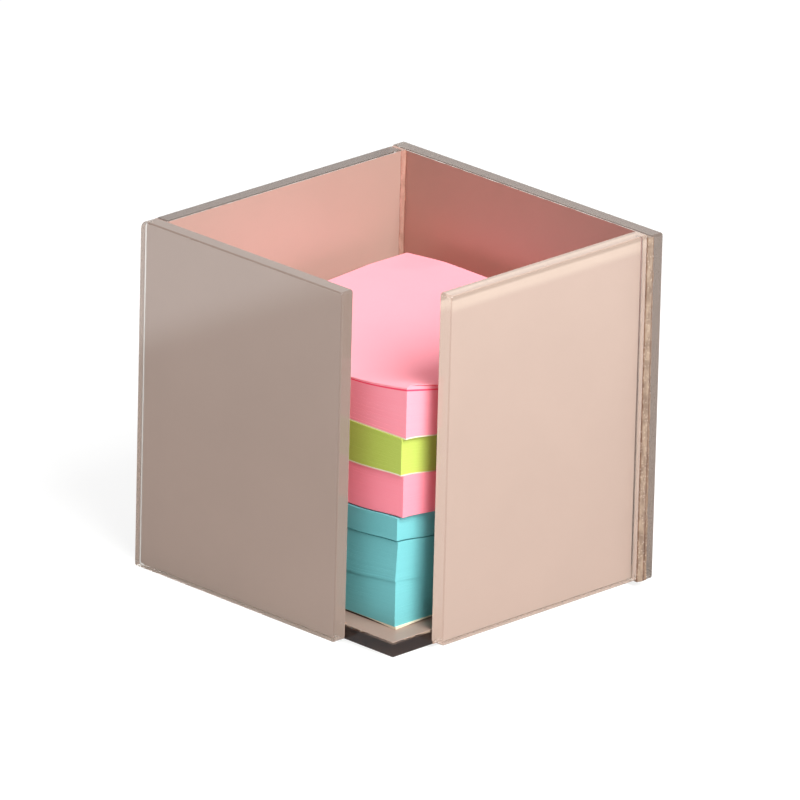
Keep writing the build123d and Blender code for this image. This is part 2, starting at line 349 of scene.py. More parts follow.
def adhesive(name, pale, dark, patchy, rim=True, glints=0.0):
    """Glossy cured adhesive, patchy from pale to dark and with small bubbles. The
    attribute across runs from 0 to 1 over a bead, whose rims are painted darker as
    shade, with a painted highlight near one. glints is how bright the bubbles' painted highlights show."""
    made, tree, out = new_material(name)
    place = add(tree, "ShaderNodeTexCoord").outputs["Object"]
    long = add(tree, "ShaderNodeMapping", {0: place, 3: (1.0, 1.0, BLOTCH_STRETCH)}).outputs[0]
    blotch = add(tree, "ShaderNodeTexNoise", {"Vector": long, "Scale": 1 / BLOTCH, "Detail": 4.0}).outputs[0]
    share = add(tree, "ShaderNodeMapRange", {
        "Value": blotch, "From Min": 0.5 - patchy / 2, "From Max": 0.5 + patchy / 2,
    })
    colour = add(tree, "ShaderNodeMix", {0: share.outputs[0], 6: srgb(dark), 7: srgb(pale)},
                 data_type="RGBA").outputs[2]
    if rim:
        across = add(tree, "ShaderNodeAttribute", attribute_name="across").outputs["Fac"]
        shift = add(tree, "ShaderNodeMath", {0: blotch, 1: 0.12, 2: across}, operation="MULTIPLY_ADD")
        bands = add(tree, "ShaderNodeValToRGB", {0: shift.outputs[0]})
        for position, tint in BEAD_SHADE_TINTS[2:]:
            bands.color_ramp.elements.new(position)
        for element, (position, tint) in zip(bands.color_ramp.elements, BEAD_SHADE_TINTS):
            element.position = position
            element.color = srgb(tint)
        colour = add(tree, "ShaderNodeMix", {0: 1.0, 6: colour, 7: bands.outputs[0]},
                     data_type="RGBA", blend_type="MULTIPLY").outputs[2]
    # Painted highlights where the bubbles are
    bubbles = add(tree, "ShaderNodeTexVoronoi", {"Vector": place, "Scale": 1 / BUBBLE}).outputs["Distance"]
    glint = add(tree, "ShaderNodeMapRange", {
        "Value": bubbles, "From Min": 0.12, "From Max": 0.32, "To Min": glints, "To Max": 0.0,
    })
    colour = add(tree, "ShaderNodeMix", {0: glint.outputs[0], 6: colour, 7: srgb(BUBBLE_HIGHLIGHT_COLOUR)},
                 data_type="RGBA").outputs[2]
    bump = add(tree, "ShaderNodeBump", {"Height": bubbles, "Strength": 0.5, "Distance": 0.2 * MM})
    shader = add(tree, "ShaderNodeBsdfPrincipled", {
        "Base Color": colour, "Roughness": 0.15, "Normal": bump.outputs[0],
    })
    tree.links.new(shader.outputs[0], out.inputs[0])
    return made


def seam(name, node, section, material):
    """A bead that runs up a joint. section(z) gives the ring of points round it at
    that height, each as (x, y, across)."""
    low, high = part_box(node)
    rows = round((high.z - low.z) / SEAM_STEP)
    vertices = []
    tones = []
    for k in range(rows + 1):
        z = low.z + (high.z - low.z) * k / rows
        for x, y, across in section(z):
            vertices.append((x, y, z))
            tones.append(across)
    count = len(vertices) // (rows + 1)
    faces = [list(range(count)), list(range(rows * count, (rows + 1) * count))[::-1]]
    for k in range(rows):
        for i in range(count):
            j = (i + 1) % count
            faces.append([k * count + i, (k + 1) * count + i, (k + 1) * count + j, k * count + j])
    made = new_object(name, vertices, faces, [material])
    made.data.attributes.new("across", "FLOAT", "POINT").data.foreach_set("value", tones)
    made.data.polygons.foreach_set("use_smooth", [True] * len(made.data.polygons))
    made.data.set_sharp_from_angle(angle=radians(50))
    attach(made, "holder")
    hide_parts(node)


def wave(z, length, seed):
    """A number from about -1 to 1 that wanders with the height z."""
    return noise.noise(Vector((z / length, seed, 0.0))) * 1.6


PLATE_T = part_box("left_panel")[1].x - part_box("left_panel")[0].x
SETTLED = 0.02 * MM  # how far adhesive sinks into what it touches


def rear_left_section(z):
    """The bead where the left plate ends at the rear plate. It thins out downwards
    along the rear plate."""
    wall_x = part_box("left_paint")[1].x
    wall_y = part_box("rear_paint")[0].y
    end_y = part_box("left_panel")[1].y
    up = (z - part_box("left_panel")[0].z) / (100 * MM)
    on_left = (0.3 + 0.3 * up + 0.2 * wave(z, 6 * MM, 1.0)) * MM
    on_rear = (0.1 + 0.65 * up + 0.25 * wave(z, 5 * MM, 2.0)) * MM
    start = Vector((wall_x - SETTLED, end_y - max(on_left, 0.1 * MM)))
    stop = Vector((wall_x + max(on_rear, 0.05 * MM), wall_y + SETTLED))
    bow = Vector((1, -1)) * 0.12 * MM
    ring = []
    for i in range(9):
        t = i / 8
        p = start.lerp(stop, t) + bow * 4 * t * (1 - t)
        ring.append((p.x, p.y, 0.02 + 0.66 * t))
    ring += [(wall_x - PLATE_T, wall_y + SETTLED, 0.4), (wall_x - PLATE_T, end_y - SETTLED, 0.4),
             (wall_x - SETTLED, end_y - SETTLED, 0.4)]
    return ring


def rear_right_section(z):
    """The wide joint behind the right plate, filled from outside. The adhesive has
    come away from the right plate's polished end, so that this end mirrors the
    coat. It has run out over the end of the rear plate in an uneven line, least at
    the top."""
    out_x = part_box("right_panel")[1].x
    low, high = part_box("rear_right_seam")
    end_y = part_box("right_panel")[1].y
    wall_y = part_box("rear_paint")[0].y
    plate_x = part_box("rear_panel")[1].x
    up = (z - low.z) / (high.z - low.z)
    reach = high.y + (0.15 - 1.2 * up + 0.25 * wave(z, 4 * MM, 3.0)) * MM
    dip = (0.05 + 0.05 * wave(z, 2.5 * MM, 4.0)) * MM
    corners = [Vector((out_x - 0.1 * MM, end_y + SETTLED)), Vector((high.x - dip, wall_y - 0.3 * MM)),
               Vector((high.x - dip / 2, wall_y + 0.6 * MM)), Vector((plate_x - SETTLED, reach))]
    ring = []
    for k in range(3):
        for i in range(4):
            p = corners[k].lerp(corners[k + 1], i / 4)
            ring.append((p.x, p.y, (k + i / 4) / 3))
    inner_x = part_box("right_paint")[0].x
    ring += [(plate_x - SETTLED, reach, 1.0), (plate_x - SETTLED, wall_y + SETTLED, 0.5),
             (inner_x, wall_y + SETTLED, 0.5), (inner_x, end_y + SETTLED, 0.5)]
    return ring


def front_left_section(z):
    """The thin bead inside the corner where the left plate ends at the front plate."""
    wall_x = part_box("left_paint")[1].x
    wall_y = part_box("front_paint")[1].y
    end_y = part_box("left_panel")[0].y
    on_left = (0.5 + 0.2 * wave(z, 6 * MM, 5.0)) * MM
    on_front = (0.6 + 0.3 * wave(z, 5 * MM, 6.0)) * MM
    return [(wall_x - SETTLED, end_y + on_left, 0.0), (wall_x + 0.3 * MM, wall_y + 0.3 * MM, 0.4),
            (wall_x + on_front, wall_y - SETTLED, 0.66), (wall_x - PLATE_T, wall_y - SETTLED, 0.4),
            (wall_x - PLATE_T, end_y + SETTLED, 0.4), (wall_x - SETTLED, end_y + SETTLED, 0.4)]


pressed_out = adhesive("cured_adhesive_clear_bead", "C49C8C", "A67F6E", 0.5)
filled_in = adhesive("cured_adhesive_filled_joint", "A08A76", "7C6656", 0.35, glints=0.4)
base_adhesive = adhesive("cured_adhesive_at_base", "B99A88", "8E7264", 0.5, rim=False)
seam("rear_left_bead", "rear_left_seam", rear_left_section, pressed_out)
seam("rear_right_fill", "rear_right_seam", rear_right_section, filled_in)
seam("front_left_bead", "front_left_seam", front_left_section, pressed_out)
for node in ("base_seam_front", "base_seam_rear", "base_seam_left", "base_seam_right"):
    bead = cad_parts[node]
    bead.data.materials.clear()
    bead.data.materials.append(base_adhesive)


# ---------------------------------------------------------------------------
# Bumper feet. Four moulded domes of clear soft plastic, each stuck under the base
# near one of its corners.

FOOT_RADIUS = 4 * MM
FOOT_SIDES = 40
FOOT_GAP = 0.03 * MM  # the film of glue over a dome is left out
# From its foot up to the glass, as shares of its radius and its height
FOOT_PROFILE = [(0.78, 0.0), (0.88, 0.06), (0.96, 0.2), (1.0, 0.42), (1.0, 1.0)]


def bumper():
    """Clear soft plastic, slightly hazy."""
    made, tree, out = new_material("clear_soft_bumper")
    place = add(tree, "ShaderNodeTexCoord").outputs["Object"]
    haze = add(tree, "ShaderNodeTexNoise", {"Vector": place, "Scale": 1 / (3 * MM), "Detail": 3.0})
    tone = add(tree, "ShaderNodeMapRange", {"Value": haze.outputs[0], "To Min": 0.25, "To Max": 0.4})
    shader = add(tree, "ShaderNodeBsdfPrincipled", {
        "Base Color": srgb("D9DAD6"), "Roughness": tone.outputs[0], "Transmission Weight": 0.5,
    })
    tree.links.new(shader.outputs[0], out.inputs[0])
    return made


def bumper_domes():
    """The four domes, as one mesh."""
    low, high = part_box("bumper_feet")
    tall = high.z - low.z - FOOT_GAP
    vertices = []
    faces = []
    for x in (low.x + FOOT_RADIUS, high.x - FOOT_RADIUS):
        for y in (low.y + FOOT_RADIUS, high.y - FOOT_RADIUS):
            first = len(vertices)
            for wide, up in FOOT_PROFILE:
                radius = FOOT_RADIUS * wide
                for i in range(FOOT_SIDES):
                    a = 2 * pi * i / FOOT_SIDES
                    vertices.append((x + radius * cos(a), y + radius * sin(a), low.z + tall * up))
            rows = len(FOOT_PROFILE)
            faces.append([first + i for i in range(FOOT_SIDES)][::-1])
            faces.append([first + (rows - 1) * FOOT_SIDES + i for i in range(FOOT_SIDES)])
            for k in range(rows - 1):
                for i in range(FOOT_SIDES):
                    j = (i + 1) % FOOT_SIDES
                    a, b = first + k * FOOT_SIDES, first + (k + 1) * FOOT_SIDES
                    faces.append([a + i, a + j, b + j, b + i])
    made = new_object("bumper_domes", vertices, faces, [bumper()])
    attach(made, "holder")
    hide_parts("bumper_feet")


bumper_domes()


# ---------------------------------------------------------------------------
# The pads. Stacks of 76 mm square leaves, glued along their rear edge, where a
# stack stands a little thicker. Towards the open corner the leaves bend up.

# All sizes of the pads are in millimetres. u and v are places on a pad, from its
# centre to the right and to the rear.
HALF = 38.1
BEND = 8.0  # how far in from the corner the leaves bend
REAR_RISE = 3.3  # how much higher the top of the stack is along the rear
AIR = 0.02  # between what lies on each other
BUNDLE = 0.36  # thickness of the bundles of leaves that show apart
JITTER, TWIST = 0.015, 0.0003  # how far out of line a bundle lies, and its turn in radians
# How far the notes of each body are turned in the holder, in degrees
TURNS = {
    "teal_bottom_notes": 0.6,
    "teal_middle_notes": 0.2,
    "teal_top_notes": -0.3,
    "pink_middle_notes": 0.5,
    "green_notes": -0.4,
    "pink_top_notes": 0.2,
    "free_leaves": 0.2,
}
LEAF_CUTS = (-1, -0.8, -0.4, 0, 0.35, 0.6, 0.72, 0.82, 0.9, 0.96, 1)
FIBRE = 0.6 * MM
MOTTLE = 14 * MM
# Strength of the pink dye's even glow: partly fluorescence, partly painted light.
FLUORESCENT_AND_PAINTED_GLOW = 0.1


def between(corner, sink_left, sink_right, share):
    """The surface where two pads meet. Its height is given at the open corner. It
    sinks from there along the front edge and along the right edge, and has that
    share of the rise to the rear."""
    def height(u, v):
        left = sink_left * (1 - np.exp(-((HALF - u) ** 2) / (2 * BEND ** 2)))
        right = sink_right * (1 - np.exp(-((HALF + v) ** 2) / (2 * BEND ** 2)))
        return corner - np.hypot(left, right) + share * REAR_RISE * ((v + HALF) / (2 * HALF)) ** 2
    return height


def raised(surface, by):
    """The same surface, a little higher."""
    return lambda u, v: surface(u, v) + by


def paper(name, colour, deep, see_through=0.0, glow=None):
    """Uncoated dyed paper, soft and even with fine fibres. Bundles differ a little
    in tone. A single leaf lets some light through. The pink dye fluoresces: glow
    is an even light it gives off, partly real and partly painted light in its shade."""
    made, tree, out = new_material(name)
    place = add(tree, "ShaderNodeTexCoord").outputs["Object"]
    tone = add(tree, "ShaderNodeAttribute", attribute_name="leaf_tone")
    fibre = add(tree, "ShaderNodeTexNoise", {"Vector": place, "Scale": 1 / FIBRE, "Detail": 4.0})
    mottle = add(tree, "ShaderNodeTexNoise", {"Vector": place, "Scale": 1 / MOTTLE, "Detail": 2.0})
    mixed = add(tree, "ShaderNodeMath", {0: fibre.outputs[0], 1: mottle.outputs[0]})
    mixed = add(tree, "ShaderNodeMath", {0: tone.outputs["Fac"], 1: 0.25, 2: mixed.outputs[0]},
                operation="MULTIPLY_ADD")
    share = add(tree, "ShaderNodeMapRange", {
        "Value": mixed.outputs[0], "From Min": 0.8, "From Max": 1.8, "To Min": 0.0, "To Max": 0.5,
    })
    base = add(tree, "ShaderNodeMix", {0: share.outputs[0], 6: srgb(colour), 7: srgb(deep)},
               data_type="RGBA").outputs[2]
    bump = add(tree, "ShaderNodeBump", {
        "Height": fibre.outputs[0], "Strength": 0.15, "Distance": 0.03 * MM,
    }).outputs[0]
    shader = add(tree, "ShaderNodeBsdfPrincipled", {
        "Base Color": base, "Roughness": 0.65, "Normal": bump, "Specular IOR Level": 0.2,
    })
    # The glow is partly fluorescence and partly painted light.
    if glow is not None:
        shader.inputs["Emission Color"].default_value = srgb(glow)
        shader.inputs["Emission Strength"].default_value = FLUORESCENT_AND_PAINTED_GLOW
    if see_through:
        through = add(tree, "ShaderNodeBsdfTranslucent", {0: base, "Normal": bump})
        shader = add(tree, "ShaderNodeMixShader", {
            0: see_through, 1: shader.outputs[0], 2: through.outputs[0],
        })
    tree.links.new(shader.outputs[0], out.inputs[0])
    return made


def leaf(name, thickness, cuts, materials=()):
    """One square leaf or bundle of leaves, with its surfaces cut into a grid."""
    across = [HALF * c for c in cuts]
    back = [-HALF * c for c in reversed(cuts)]
    n = len(cuts)
    vertices = [(x, y, z) for z in (0, thickness) for y in back for x in across]
    faces = []
    for j in range(n - 1):
        for i in range(n - 1):
            k = j * n + i
            faces.append((k, k + n, k + n + 1, k + 1))
            faces.append((k + n * n, k + n * n + 1, k + n * n + n + 1, k + n * n + n))
    rim = [i for i in range(n)] + [n * j + n - 1 for j in range(1, n)]
    rim += [n * (n - 1) + i for i in range(n - 2, -1, -1)] + [n * j for j in range(n - 2, 0, -1)]
    for k, here in enumerate(rim):
        following = rim[(k + 1) % len(rim)]
        faces.append((here, following, following + n * n, here + n * n))
    return new_object(name, vertices, faces, materials)


def leaf_stack_tree():
    """Stacks copies of one leaf, each shifted and turned a little by chance."""
    tree = bpy.data.node_groups.new("leaf_stack", "GeometryNodeTree")
    face = tree.interface
    face.new_socket("Leaf", in_out="INPUT", socket_type="NodeSocketGeometry")
    kinds = {
        "Leaves": "NodeSocketInt", "Start": "NodeSocketVector", "Step": "NodeSocketVector",
        "Jitter": "NodeSocketFloat", "Twist": "NodeSocketFloat", "Seed": "NodeSocketInt",
        "Paper": "NodeSocketMaterial",
    }
    sockets = {}
    for label, kind in kinds.items():
        sockets[label] = face.new_socket(label, in_out="INPUT", socket_type=kind).identifier
    face.new_socket("Stack", in_out="OUTPUT", socket_type="NodeSocketGeometry")
    given = add(tree, "NodeGroupInput").outputs
    line = add(tree, "GeometryNodeMeshLine", {
        "Count": given["Leaves"], "Start Location": given["Start"], "Offset": given["Step"],
    })
    turn = add(tree, "FunctionNodeRandomValue", {2: -1.0, 3: 1.0, "Seed": given["Seed"]}, data_type="FLOAT")
    turned = add(tree, "ShaderNodeMath", {0: turn.outputs[1], 1: given["Twist"]}, operation="MULTIPLY")
    rotation = add(tree, "ShaderNodeCombineXYZ", {2: turned.outputs[0]})
    placed = add(tree, "GeometryNodeInstanceOnPoints", {
        "Points": line.outputs[0], "Instance": given["Leaf"], "Rotation": rotation.outputs[0],
    })
    shift = add(tree, "FunctionNodeRandomValue", {
        0: (-1.0, -1.0, 0.0), 1: (1.0, 1.0, 0.0), "Seed": given["Seed"],
    }, data_type="FLOAT_VECTOR")
    shifted = add(tree, "ShaderNodeVectorMath", {0: shift.outputs[0], "Scale": given["Jitter"]},
                  operation="SCALE")
    moved = add(tree, "GeometryNodeTranslateInstances", {
        0: placed.outputs[0], "Translation": shifted.outputs[0],
    })
    tone = add(tree, "FunctionNodeRandomValue", {"Seed": given["Seed"]}, data_type="FLOAT")
    kept = add(tree, "GeometryNodeStoreNamedAttribute", {
        0: moved.outputs[0], "Name": "leaf_tone", "Value": tone.outputs[1],
    }, data_type="FLOAT", domain="INSTANCE")
    real = add(tree, "GeometryNodeRealizeInstances", {0: kept.outputs[0]})
    painted = add(tree, "GeometryNodeSetMaterial", {0: real.outputs[0], "Material": given["Paper"]})
    add(tree, "NodeGroupOutput", {0: painted.outputs[0]})
    return tree, sockets


stack_tree, stack_sockets = leaf_stack_tree()


def stacked(name, paper_material, thickness, seed, lean=(0.0, 0.0)):
    """A flat stack of that thickness about a pad's centre. lean is how far its top
    is shifted against its bottom."""
    count = round(thickness / BUNDLE)
    pitch = thickness / count
    made = leaf(name, 0.994 * pitch, LEAF_CUTS)
    values = {
        "Leaves": count,
        "Start": (-lean[0] / 2, -lean[1] / 2, 0.0),
        "Step": (lean[0] / count, lean[1] / count, pitch),
        "Jitter": JITTER,
        "Twist": TWIST,
        "Seed": seed,
        "Paper": paper_material,
    }
    modifier = made.modifiers.new("stack", "NODES")
    modifier.node_group = stack_tree
    for label, value in values.items():
        modifier[stack_sockets[label]] = value
    graph = bpy.context.evaluated_depsgraph_get()
    result = bpy.data.meshes.new_from_object(made.evaluated_get(graph))
    made.modifiers.clear()
    made.data = result
    return made


def lay(piece, node, under, over, body, shift=(0.0, 0.0)):
    """Bends a flat piece between two surfaces, puts it where its CAD node lies, and
    hands it over to the frame."""
    low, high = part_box(node)
    middle = (low + high) / 2
    points = np.empty(len(piece.data.vertices) * 3)
    piece.data.vertices.foreach_get("co", points)
    u, v, h = points.reshape(-1, 3).T
    share = h / h.max()
    z = under(u, v) * (1 - share) + over(u, v) * share
    turn = radians(TURNS[body])
    c, s = cos(turn), sin(turn)
    x = middle.x + (u * c - v * s + shift[0]) * MM
    y = middle.y + (u * s + v * c + shift[1]) * MM
    piece.data.vertices.foreach_set("co", np.stack([x, y, z * MM], 1).ravel())
    piece.data.update()
    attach(piece, body)
    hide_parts(node)


teal = paper("teal_note_paper", "77C4C8", "69B6BA")
under_stack = between(corner=6.42, sink_left=0.12, sink_right=0.2, share=0.0)
over_teal_bottom = between(corner=19.37, sink_left=2.04, sink_right=2.0, share=0.15)
over_teal_middle = between(corner=31.27, sink_left=1.53, sink_right=2.1, share=0.3)
over_teal_top = between(corner=37.79, sink_left=1.4, sink_right=1.65, share=0.4)
over_pink_middle = between(corner=50.06, sink_left=1.2, sink_right=2.4, share=0.6)
over_green = between(corner=60.73, sink_left=0.15, sink_right=2.4, share=0.8)


def at_corner(u, v, reach):
    """1 at the open corner, and falls to 0 away from it."""
    return np.exp(-((HALF - u) ** 2 + (HALF + v) ** 2) / (2 * reach ** 2))


def under_thumbed_gap(u, v):
    """Top of the middle teal pad. The gap over it opens towards the corner, as it
    does between leaves that have been thumbed."""
    return over_teal_middle(u, v) - (0.1 + 0.4 * at_corner(u, v, 12))


lay(stacked("teal_bottom_leaves", teal, thickness=12.4, seed=3), "teal_bottom_pad",
    under_stack, raised(over_teal_bottom, -2 * AIR), "teal_bottom_notes")
lay(stacked("teal_middle_leaves", teal, thickness=11.7, seed=4, lean=(0.4, 0.36)), "teal_middle_pad",
    over_teal_bottom, under_thumbed_gap, "teal_middle_notes")
lay(stacked("teal_top_leaves", teal, thickness=6.4, seed=5), "teal_top_pad",
    over_teal_middle, raised(over_teal_top, -AIR), "teal_top_notes")


# ---------------------------------------------------------------------------
# Backing cards. Thin uncoated card, cut with the pad and glued under it. The
# lowest one is dog-eared, and below it lies a dark sheet of painted shade. The one under
# the pink middle pad is cut short, so a dark line of shadow shows there instead.

FLOOR = round(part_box("base_paint")[1].z / MM, 3)
CARD_T = 0.4  # as cut, before it is laid between the pads
CARD_SHOWN = 0.36
LOWEST_SHOWN = 0.16  # what shows of the lowest card at the right edge
CARD_FIBRE = 0.8 * MM
CUT_SHORT = 2.5


def card_stock(name, pale, dark):
    """Uncoated card with a little fibre in it."""
    made, tree, out = new_material(name)
    place = add(tree, "ShaderNodeTexCoord").outputs["Object"]
    fibre = add(tree, "ShaderNodeTexNoise", {"Vector": place, "Scale": 1 / CARD_FIBRE, "Detail": 4.0})
    colour = add(tree, "ShaderNodeMix", {0: fibre.outputs[0], 6: srgb(pale), 7: srgb(dark)},
                 data_type="RGBA")
    shader = add(tree, "ShaderNodeBsdfPrincipled", {"Base Color": colour.outputs[2], "Roughness": 0.7})
    tree.links.new(shader.outputs[0], out.inputs[0])
    return made


cream_card = card_stock("backing_card_cream", "FBF0D8", "EADCBC")
# A dark sheet under the lowest card: painted shade of the gap under the pad.
shade_card = card_stock("backing_card_painted_shade", "3A2C26", "2A2420")


def card(name, node, under, over, body, drawn_in=0.0, shift=(0.0, 0.0), stock=cream_card):
    """A pad's card between two surfaces. drawn_in makes it that much smaller all round."""
    cuts = tuple(c * (1 - drawn_in / HALF) for c in LEAF_CUTS)
    lay(leaf(name, CARD_T, cuts, [stock]), node, under, over, body, shift)


def under_card(u, v):
    """Underside of the lowest card. Along the front edge little of the card shows."""
    shows = 0.04 + LOWEST_SHOWN * np.exp(-((HALF - u) ** 2) / (2 * 6 ** 2))
    return np.maximum(under_stack(u, v) - AIR - shows - 0.5 * at_corner(u, v, 5), FLOOR + 0.04)


def over_shade_sheet(u, v):
    """Top of the dark sheet of painted shade under the card."""
    return np.maximum(under_card(u, v) - AIR, FLOOR + 0.015)


def on_floor(u, v):
    """Just over the coat on the base."""
    return FLOOR + 0.01 + 0 * u


card("teal_bottom_card", "teal_backing", under_card, raised(under_stack, -AIR), "teal_bottom_notes",
     shift=(0.4, 0.05))
card("teal_bottom_shade_sheet", "teal_backing", on_floor, over_shade_sheet, "teal_bottom_notes",
     drawn_in=0.1, stock=shade_card)
card("pink_middle_card", "pink_middle_backing", raised(over_teal_top, AIR),
     raised(over_teal_top, AIR + CARD_SHOWN), "pink_middle_notes", drawn_in=CUT_SHORT)
card("green_card", "green_backing", over_pink_middle, raised(over_pink_middle, CARD_SHOWN), "green_notes")
card("pink_top_card", "pink_top_backing", over_green, raised(over_green, CARD_SHOWN), "pink_top_notes")


# ---------------------------------------------------------------------------
# The pink and the green pads, on their cards. They are stacks of leaves as the teal
# ones are. The upper pink pad swells towards the open corner, under the curled leaves.

TOP_LEAVES = 0.5  # what the uppermost leaves take up over the pad
TOP_MIDDLE = 73.85  # height of the stack's top at its centre
TOP_SLOPE = (-0.8, 1.63)  # what it rises from there to the right edge and to the rear one
TOP_BOW = (-0.43, 0.9)
TOP_TWIST = 0.07
DROOP, DROOP_REACH = 1.25, 15  # at the corner furthest from the open one
SWELL, SWELL_LEFT, SWELL_RIGHT = 3.25, 22, 16
OVER_SHORT_CARD = 0.45  # the pink middle pad lies this far over the teal one


def stack_top(u, v):
    """Height of the top of the stack at (u, v), without the curl at the open corner.
    It hangs a little at the corner furthest from it."""
    a = u / HALF
    b = v / HALF
    droop = DROOP * np.clip(1 - np.hypot(u + HALF, v - HALF) / DROOP_REACH, 0, 1) ** 1.1
    sloped = TOP_MIDDLE + TOP_SLOPE[0] * a + TOP_SLOPE[1] * b
    return sloped + TOP_BOW[0] * a * a + TOP_BOW[1] * b * b + TOP_TWIST * a * b - droop


def pad_top(u, v):
    """Top of the upper pink pad, below its curled leaves."""
    left = np.clip(1 - (HALF - u) / SWELL_LEFT, 0, 1) ** 1.5
    right = np.clip(1 - (HALF + v) / SWELL_RIGHT, 0, 1) ** 1.05
    return stack_top(u, v) - TOP_LEAVES + SWELL * left * right


pink = paper("pink_note_paper", "FCA4B3", "F694A4", glow="FF3C50")
green = paper("green_note_paper", "BFD062", "AFC34E")
warm_pink = paper("warm_pink_note_paper", "FA98A8", "F28A9A", glow="FF3C50")
lay(stacked("pink_middle_leaves", warm_pink, thickness=11.7, seed=6), "pink_middle_pad",
    raised(over_teal_top, OVER_SHORT_CARD), raised(over_pink_middle, -AIR),
    "pink_middle_notes")
lay(stacked("green_leaves", green, thickness=11.2, seed=7), "green_pad",
    raised(over_pink_middle, CARD_SHOWN + AIR), raised(over_green, -AIR), "green_notes")
lay(stacked("pink_top_leaves", pink, thickness=12.5, seed=8), "pink_top_pad",
    raised(over_green, CARD_SHOWN + AIR), pad_top, "pink_top_notes")


# ---------------------------------------------------------------------------
# The uppermost leaves. They have been handled and curl up at the open corner. Below
# the last one lies a small bundle, and below that leaves of a deep red pink, painted shade of the gap.

FINE_CUT_COUNT = 61
FINE_CUTS = tuple(-cos(pi * i / (FINE_CUT_COUNT - 1)) for i in range(FINE_CUT_COUNT))
LEAF_T = 0.15
SHADE_LEAVES_T = 0.34
TOUCH = 0.01  # leaves that lie on each other are this far apart
CURL_LEFT = 26.0  # how far the curl reaches along the front edge
CURL_RIGHT = 20.0  # and along the right edge
CURL_RISE = 4.6
HANG, HANG_REACH = 1.35, 1.2
FAN_REACH = 9


def curl(u, v):
    """How far the last leaves rise over the top of the stack. Their front edge
    hangs a little."""
    left = np.clip(1 - (HALF - u) / CURL_LEFT, 0, 1) ** 1.5
    inward = HALF + v
    right = CURL_RISE * np.clip(1 - inward / CURL_RIGHT, 0, 1) ** 1.15
    hang = HANG * np.exp(-inward / HANG_REACH)
    return left * (right - hang)


def last_top(u, v):
    """Top of the last leaf. The leaves have come apart most at the open corner."""
    return stack_top(u, v) + curl(u, v) + 0.35 * at_corner(u, v, FAN_REACH)


def last_bottom(u, v):
    """Underside of the last leaf, which looks a little thicker where it is curled."""
    return last_top(u, v) - LEAF_T - 0.1 * at_corner(u, v, FAN_REACH)


def bundle_top(u, v):
    """The bundle parts from the last leaf along the right edge."""
    parted = np.clip((HALF + v - 0.5) / 4, 0, 1) * np.clip(1 - (HALF - u) / 12, 0, 1)
    parted = parted * np.clip(1 - (HALF + v - 12) / 20, 0, 1)
    return last_bottom(u, v) - TOUCH - 0.2 * parted


def shade_leaves_top(u, v):
    """Top of the leaves whose deep red pink is painted shade, thickest at the open corner."""
    return pad_top(u, v) + TOUCH + SHADE_LEAVES_T + 0.16 * at_corner(u, v, FAN_REACH)


pink_leaf = paper("pink_note_leaf", "FDAEBB", "FBA2B0", see_through=0.12, glow="FF3C50")
# Deep red pink leaves: painted shade of the gap under the curled leaves.
shade_pink_paper = paper("pink_note_paper_painted_shade", "F0506E", "E84464", glow="FF2840")
top_leaves = [
    ("last_leaf", pink_leaf, last_bottom, last_top),
    ("bundle_below_last", pink, raised(shade_leaves_top, TOUCH), bundle_top),
    ("shade_pink_leaves", shade_pink_paper, raised(pad_top, TOUCH), shade_leaves_top),
]
for name, material, under, over in top_leaves:
    sheet = leaf(name, LEAF_T, FINE_CUTS, [material])
    sheet.data.polygons.foreach_set("use_smooth", [True] * len(sheet.data.polygons))
    lay(sheet, "loose_notes", under, over, "free_leaves")
    sheet.data.set_sharp_from_angle(angle=radians(40))


# ---------------------------------------------------------------------------
# The table and backdrop: one white sheet. The camera sees it as plain white with
# the object's soft shadow. Glass and gloss see a painted reflection on it: a glow
# that brightens away from the holder and more so at the front left.

SHEET = 1.5  # from its middle to its edges
NEAR_SHEET, FAR_SHEET = 0.12, 0.34  # over this stretch from the middle, its painted reflection brightens
NEAR_GLOW, FAR_GLOW = 0.75, 1.3
GLOW_EDGE, GLOW_EDGE_BLUR = -0.181, 0.015  # left of this x, in front, the painted reflection is brighter still
GLOW_FRONT = -0.1
FRONT_LEFT_GLOW = 1.4
SHEET_GRAIN = 2 * MM


